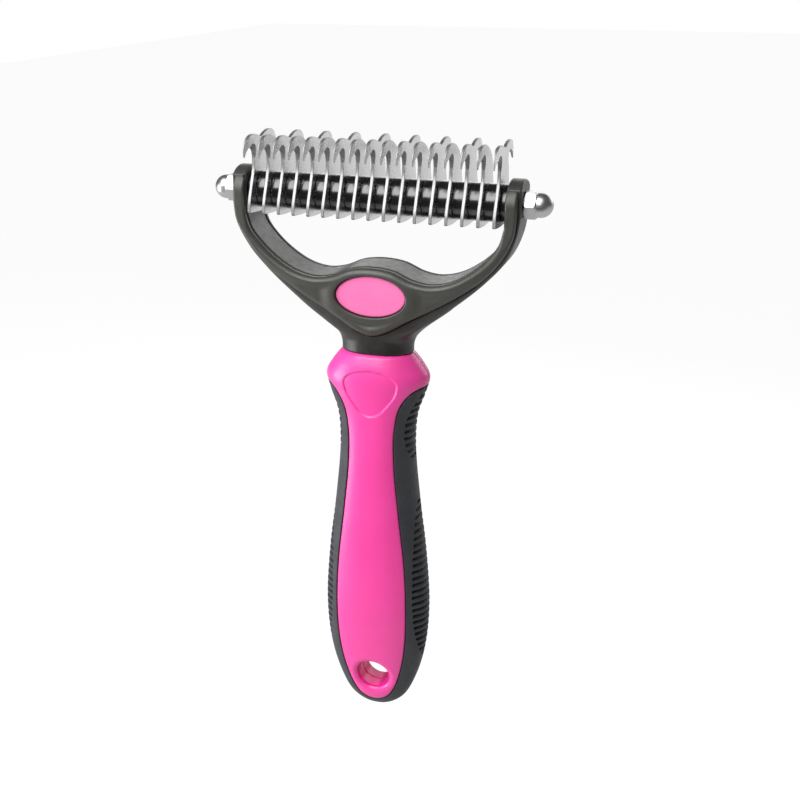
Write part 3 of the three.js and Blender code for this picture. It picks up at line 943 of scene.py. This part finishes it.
NUT_FLATS, NUT_HEX, NUT_DOME = 7.0, 3.2, 3.25  # width over the flats, the hex's height, the dome's radius
NUT_MOUTH, NUT_STEP = 2.1, 0.12  # radius at the rod, and the small step under the dome
HEX_HEIGHTS = [0, 0.06, 0.12, 0.2, 0.3, 0.4, 0.6, 1.2, 1.6, 2.0, 2.6, 2.8, 2.9, 3.0, 3.08, 3.14, NUT_HEX]
CORNER_SHARPNESS = 60
CHAMFER_START, CHAMFER_ANGLE = 0.985, math.radians(32)  # the start is a share of the flats' radius
NUT_SEGMENTS, DOME_ROWS = 120, 20


def nut_radius(angle, height):
    """The hex part's radius: six flats with barely rounded corners, chamfered at both ends."""
    flat = NUT_FLATS / 2
    corner = sum(max(math.cos(angle - k * math.pi / 3), 0) ** CORNER_SHARPNESS for k in range(6))
    hexagon = flat / corner ** (1 / CORNER_SHARPNESS)
    chamfer = flat * CHAMFER_START + min(height, NUT_HEX - height) / math.tan(CHAMFER_ANGLE)
    return min(hexagon, chamfer)


def nut_rows(height, turn):
    """Pairs of distance from the seat and radius at each angle, from the mouth to just below the tip."""
    def even(radius):
        return [radius] * len(turn)

    rows = [(0, even(NUT_MOUTH))]
    rows += [(x, [nut_radius(angle, x) for angle in turn]) for x in HEX_HEIGHTS]
    rows.append((NUT_HEX, even(NUT_DOME + NUT_STEP)))
    rows.append((NUT_HEX + NUT_STEP, even(NUT_DOME)))
    start = height - NUT_DOME
    for angle in np.linspace(0, math.pi / 2, DOME_ROWS)[:-1]:
        rows.append((start + NUT_DOME * math.sin(angle), even(NUT_DOME * math.cos(angle))))
    return rows


def nut_look(node, side):
    """A domed cap nut: chamfered hex, a short neck and a dome. Side is -1 at the left and 1 at the right."""
    low, high = box_mm(node)
    seat = low[0] if side > 0 else high[0]
    height = high[0] - low[0]
    turn = full_turn(NUT_SEGMENTS)
    rings = [ring_about_rod(seat + side * x, radii, turn) for x, radii in nut_rows(height, turn)]
    points = [p for ring in rings for p in ring]
    faces = ring_strip(rings)
    tip, mouth = len(points), len(points) + 1
    points += [(seat + side * height, 0, BAR_Z), (seat, 0, BAR_Z)]
    last = (len(rings) - 1) * NUT_SEGMENTS
    for i in range(NUT_SEGMENTS):
        j = (i + 1) % NUT_SEGMENTS
        faces.append((last + i, last + j, tip))
        faces.append((j, i, mouth))
    if side < 0:
        faces = [f[::-1] for f in faces]
    piece = make_object(f"{node}_look", points, faces, [CHROME])
    finish_hard(piece, node)


# ---- Blades ----

EDGE_BREAK = 0.13  # rounding of the stamped edges
EDGE_LEFT = 0.2  # thickness that the grinding leaves along a hook's inner edge
DARK_ABOVE = STEM_EDGE[-1][1]  # from the throat to the tip the grinding is rougher and painted darker: painted shade and a painted reflection of the black spacers
# Width of the grinding along a hook's inner edge: [share of the ground length, width]
GROUND_WIDTH = [[0.0, 0.0], [0.27, 0.1], [0.36, 1.2], [0.45, 1.8], [0.56, 0.9], [0.64, 0.0]]
GROUND_LENGTH = 0.62  # as a share of the inner edge
GROUND_SLOPE = 0.45  # depth of the grinding over its width
TIP_FROM, TIP_TO, TIP_THINNING = 8.2, 11.2, 0.65  # the teeth thin down between these distances from the rod
DARK_TIP = 8.6  # past this distance the teeth's edges take the same darker metal
BACK_TEETH_PAST = 11  # only the blades that reach further back than this have teeth there
BEVEL_FROM = 3  # the first of a blade's layers that belongs to the bevel on its +X face

BLADE_METALS = [STEEL_FACE, STEEL_CUT, STEEL_GROUND, STEEL_PAINTED_SHADE]
ON_FACE, ON_CUT, ON_GROUND, ON_PAINTED_SHADE = range(len(BLADE_METALS))


def blade_outline(double_sided):
    """The outline in Y and Z, counter-clockwise, and the runs of its points that hooks' inner edges take."""
    stem = spline(STEM_EDGE, 8)
    throat = spline([STEM_EDGE[-1]] + THROAT, 8)
    hook = np.vstack([stem[:-1], throat])
    if double_sided:
        back = spline(TOOTH_BACK[:-1] + mirrored(TOOTH_BACK), 6)
        start = hook
    else:
        back = spline([STEM_EDGE[-1]] + PLAIN_BACK + mirrored(TOOTH_BACK)[3:], 6)[1:]
        start = stem
    front = np.array(mirrored(hook.tolist()))
    foot = spline([[-y, z] for y, z in FOOT_BOTTOM] + FOOT_BOTTOM[-2::-1], 6)
    outline = np.vstack([start, back, front, foot])
    front_from = len(start) + len(back)
    runs = [range(front_from, front_from + len(front))]
    if double_sided:
        runs.append(range(len(start) - 1, -1, -1))
    return outline, runs


def inward(outline):
    """Unit vectors into a counter-clockwise outline, halving each corner."""
    before, after = outline - np.roll(outline, 1, 0), np.roll(outline, -1, 0) - outline
    before /= np.maximum(np.linalg.norm(before, axis=1), 1e-9)[:, None]
    after /= np.maximum(np.linalg.norm(after, axis=1), 1e-9)[:, None]
    along = before + after
    along /= np.maximum(np.linalg.norm(along, axis=1), 1e-9)[:, None]
    return np.stack([-along[:, 1], along[:, 0]], axis=1)


def tooth_reach(outline):
    """How far each point of the outline lies out on a tooth, past the line where the teeth start to thin."""
    return np.where(outline[:, 1] > DARK_ABOVE, np.maximum(np.abs(outline[:, 0]) - TIP_FROM, 0), 0)


def flat_parts(reach):
    """Runs of the outline's points that bound each tooth's thinned part, then the rest of the blade."""
    count = len(reach)
    out = reach > 0
    starts = [i for i in range(count) if out[i] and not out[i - 1]]
    parts, rest = [], list(range(count))
    for start in starts:
        run = [start - 1]
        while out[(run[-1] + 1) % count]:
            run.append((run[-1] + 1) % count)
        run = [i % count for i in run + [run[-1] + 1]]
        parts.append(run)
        rest = [i for i in rest if i not in run[1:-1]]
    return parts, rest


def grinding(outline, runs, thickness):
    """Width of the grinding at each point of the outline, and how deep it cuts into the +X face."""
    width = np.zeros(len(outline))
    for run in runs:
        run = list(run)
        steps = np.linalg.norm(np.diff(outline[run], axis=0), axis=1)
        upto = np.concatenate([[0], np.cumsum(steps)])
        reach = upto[-1] * GROUND_LENGTH
        width[run] = np.interp(upto / reach, *np.array(GROUND_WIDTH).T, right=0)
    return width, np.minimum(width * GROUND_SLOPE, thickness - EDGE_LEFT)


def blade_layers(double_sided, thickness):
    """A stamped blade's outline in five layers from its -X face to its +X face, and its flat parts."""
    outline, runs = blade_outline(double_sided)
    normal = inward(outline)
    ground, drop = grinding(outline, runs, thickness)
    thin = 1 - TIP_THINNING * ramp(tooth_reach(outline), 0, TIP_TO - TIP_FROM)
    half = thickness / 2 * thin
    edge = EDGE_BREAK * thin
    drop = drop * thin
    broken = outline + edge[:, None] * normal
    top = outline + np.maximum(ground * thin, edge)[:, None] * normal
    layers = [
        np.column_stack([-half, broken]),
        np.column_stack([-half + edge, outline]),
        np.column_stack([half - edge - drop, outline]),
        np.column_stack([half - drop, broken]),
        np.column_stack([half, top]),
    ]
    return layers, flat_parts(tooth_reach(outline))


def rim_metal(on_bevel, out, height):
    """The metal of one face on a blade's rim."""
    # painted shade and reflection: the darker metal from the throat up
    if height > DARK_ABOVE and (on_bevel or abs(out) > DARK_TIP):
        return ON_PAINTED_SHADE
    return ON_GROUND if on_bevel else ON_CUT


def filled(points, loops, looks_left):
    """Triangles that fill an outline, less any hole after it in loops, facing -X if looks_left, else +X."""
    numbers = sum(loops, [])
    flat = [[Vector((0, *points[v][1:])) for v in loop] for loop in loops]
    faces = []
    for triangle in tessellate_polygon(flat):
        a, b, c = (Vector(points[numbers[k]]) for k in triangle)
        backward = ((b - a).cross(c - a).x > 0) == looks_left
        faces.append(tuple(numbers[k] for k in (triangle[::-1] if backward else triangle)))
    return faces


def blade_shape(double_sided, thickness):
    """A blade about the rod's axis: points, faces and each face's place in BLADE_METALS."""
    layers, (teeth, body) = blade_layers(double_sided, thickness)
    count = len(layers[0])
    points = [tuple(p) for layer in layers for p in layer]
    faces = [f[::-1] for f in ring_strip(layers)]
    metals = []
    for face in faces:
        out, height = np.mean([points[v] for v in face], axis=0)[1:]
        metals.append(rim_metal(face[0] // count >= BEVEL_FROM, out, height))
    hole = len(points)
    key = [(-KEY_HALF, -KEY_HALF), (-KEY_HALF, KEY_HALF), (KEY_HALF, KEY_HALF), (KEY_HALF, -KEY_HALF)]
    for x in (-thickness / 2, thickness / 2):
        points += [(x, y, z) for y, z in key]
    faces += [tuple(hole + v for v in f) for f in ring_strip([key, key])]
    metals += [ON_CUT] * len(key)
    for layer, hole_from, looks_left in ((0, hole, True), (len(layers) - 1, hole + len(key), False)):
        groups = [[[layer * count + i for i in part]] for part in teeth]
        groups.append([[layer * count + i for i in body], list(range(hole_from, hole_from + len(key)))])
        for loops in groups:
            flat_faces = filled(points, loops, looks_left)
            faces += flat_faces
            metals += [ON_FACE] * len(flat_faces)
    return points, faces, metals


def build_stack():
    shapes = {}
    for node in sorted(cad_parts):
        if node.startswith("spacer"):
            spacer_look(node)
        if not node.startswith("blade"):
            continue
        low, high = box_mm(node)
        middle = (low[0] + high[0]) / 2
        double_sided = high[1] > BACK_TEETH_PAST
        if double_sided not in shapes:
            shapes[double_sided] = blade_shape(double_sided, high[0] - low[0])
        points, faces, metals = shapes[double_sided]
        moved = [(x + middle, y, z + BAR_Z) for x, y, z in points]
        piece = make_object(f"{node}_look", moved, faces, BLADE_METALS)
        for polygon, metal in zip(piece.data.polygons, metals):
            polygon.material_index = metal
        finish_hard(piece, node)


build_handle()
build_yoke()
nut_look("dome_nut_left", -1)
nut_look("dome_nut_right", 1)
build_stack()
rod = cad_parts["tie_rod"]
rod.data.materials.clear()
rod.data.materials.append(STEEL_FACE)


# ---- Stage: floor, lights and camera ----

FLOOR_REACH = (-2500, 2500, -350, 6000)
FLOOR_DROP = 160
# Strength of the floor and the world where they are seen, and where they light the rake
FLOOR_SEEN, FLOOR_LIGHTING = 0.95, 0.7
WORLD_SEEN, WORLD_LIGHTING = 1.0, 0.10


def area_light(name, place, target, size, power):
    light = bpy.data.lights.new(name, "AREA")
    light.shape = "RECTANGLE"
    light.size, light.size_y = size[0] * MM, size[1] * MM
    light.energy = power
    lamp = bpy.data.objects.new(name, light)
    bpy.context.scene.collection.objects.link(lamp)
    lamp.location = Vector(place) * MM
    lamp.rotation_euler = (Vector(target) - Vector(place)).to_track_quat("-Z", "Y").to_euler()
    lamp.visible_camera = False


def seen_or_lighting(tree, seen, lighting, target):
    """Feed target with one strength where the stage is seen directly and another where it lights the rake."""
    path = tree.nodes.new("ShaderNodeLightPath")
    choose = tree.nodes.new("ShaderNodeMapRange")
    choose.inputs["To Min"].default_value = lighting
    choose.inputs["To Max"].default_value = seen
    tree.links.new(path.outputs["Is Camera Ray"], choose.inputs["Value"])
    tree.links.new(choose.outputs["Result"], target)


def build_floor():
    """A plain white floor below the rake, reaching far behind it."""
    x0, x1, y0, y1 = FLOOR_REACH
    z = CAD_BOX[0][2] / MM - FLOOR_DROP
    points = [(x0, y0, z), (x1, y0, z), (x1, y1, z), (x0, y1, z)]
    mesh = bpy.data.meshes.new("floor")
    mesh.from_pydata((np.array(points) * MM).tolist(), [], [(0, 1, 2, 3)])
    floor = bpy.data.objects.new("floor", mesh)
    bpy.context.scene.collection.objects.link(floor)
    shader = Shader("floor_white", (0.1, 0.1, 0.1), 0.9, specular_ior_level=0.0)
    shader.set("Emission Color", (1, 1, 1, 1))
    strength = shader.principled.inputs["Emission Strength"]
    seen_or_lighting(shader.tree, FLOOR_SEEN, FLOOR_LIGHTING, strength)
    mesh.materials.append(shader.material)


def build_world():
    """White where it is seen, and a dim room where it lights the rake."""
    world = bpy.data.worlds.new("studio")
    bpy.context.scene.world = world
    world.use_nodes = True
    background = world.node_tree.nodes["Background"]
    background.inputs["Color"].default_value = (1, 1, 1, 1)
    seen_or_lighting(world.node_tree, WORLD_SEEN, WORLD_LIGHTING, background.inputs["Strength"])


CAMERA_AZIMUTH, CAMERA_ELEVATION = math.radians(17.67), math.radians(21.92)
CAMERA_DISTANCE = 354.4
CAMERA_TARGET = Vector((0, 0, 77.3))
LENS, SENSOR = 54.93, 36.0
SHIFT = (0.0271, 0.0457)


def build_camera():
    data = bpy.data.cameras.new("camera")
    data.lens = LENS
    data.sensor_width = SENSOR
    data.shift_x, data.shift_y = SHIFT
    data.clip_start = 0.01
    camera = bpy.data.objects.new("camera", data)
    bpy.context.scene.collection.objects.link(camera)
    flat = math.cos(CAMERA_ELEVATION)
    back = Vector((
        math.sin(CAMERA_AZIMUTH) * flat,
        -math.cos(CAMERA_AZIMUTH) * flat,
        math.sin(CAMERA_ELEVATION),
    ))
    camera.location = (CAMERA_TARGET + CAMERA_DISTANCE * back) * MM
    camera.rotation_euler = (-back).to_track_quat("-Z", "Y").to_euler()
    bpy.context.scene.camera = camera


build_floor()
build_world()
build_camera()
MIDDLE = (0, 0, 80)
area_light("key", (-205, -455, 615), MIDDLE, (600, 660), 7.4)
area_light("side", (-560, -260, 40), MIDDLE, (260, 380), 2.7)
area_light("back", (150, 700, 330), MIDDLE, (1200, 420), 3.3)
bpy.context.scene.view_settings.view_transform = "Standard"
